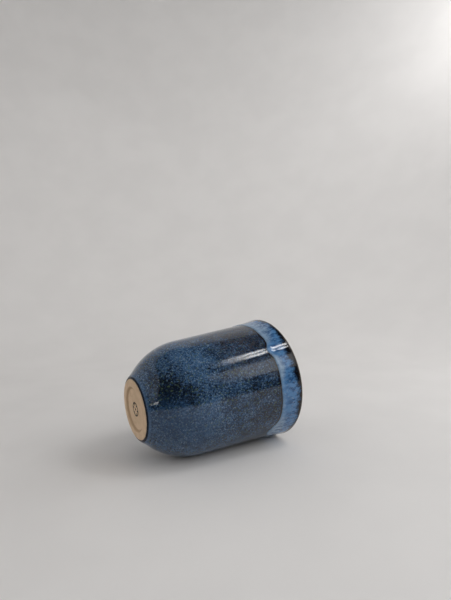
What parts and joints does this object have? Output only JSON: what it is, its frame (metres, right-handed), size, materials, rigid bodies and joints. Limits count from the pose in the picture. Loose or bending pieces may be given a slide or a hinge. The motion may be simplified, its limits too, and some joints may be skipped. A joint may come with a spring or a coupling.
{
  "type": "shaving mug",
  "caption": "Handleless stoneware shaving mug with a small bare foot, rounded belly, dark blue speckled glaze and a pale blue band on the flared rim.",
  "frame": {"origin": "centre of the foot ring's resting plane, on the mug's axis", "axes": "+Z along the mug's axis, from the foot to the mouth; the mug is round, so X and Y are free"},
  "size_m": [0.0824, 0.0824, 0.1],
  "materials": {
    "bare_clay": "unglazed fired stoneware, matt, fine grain",
    "dark_blue_glaze": "glossy, near black with blue mottling and fine light speckle",
    "pale_blue_glaze": "glossy, pale grey blue at its lower edge, deeper blue streaks towards the lip",
    "brown_glaze": "glossy, thin, breaking to dark brown",
    "liner_glaze": "glossy dark blue with fine speckle",
    "black_stain": "matt black ceramic stain, printed"
  },
  "bodies": {
    "root": {"clay_body": "bare_clay", "body_glaze": "dark_blue_glaze", "rim_glaze": "pale_blue_glaze", "lip_glaze": "brown_glaze", "liner_glaze": "liner_glaze", "base_mark": "black_stain"}
  },
  "joints": []
}
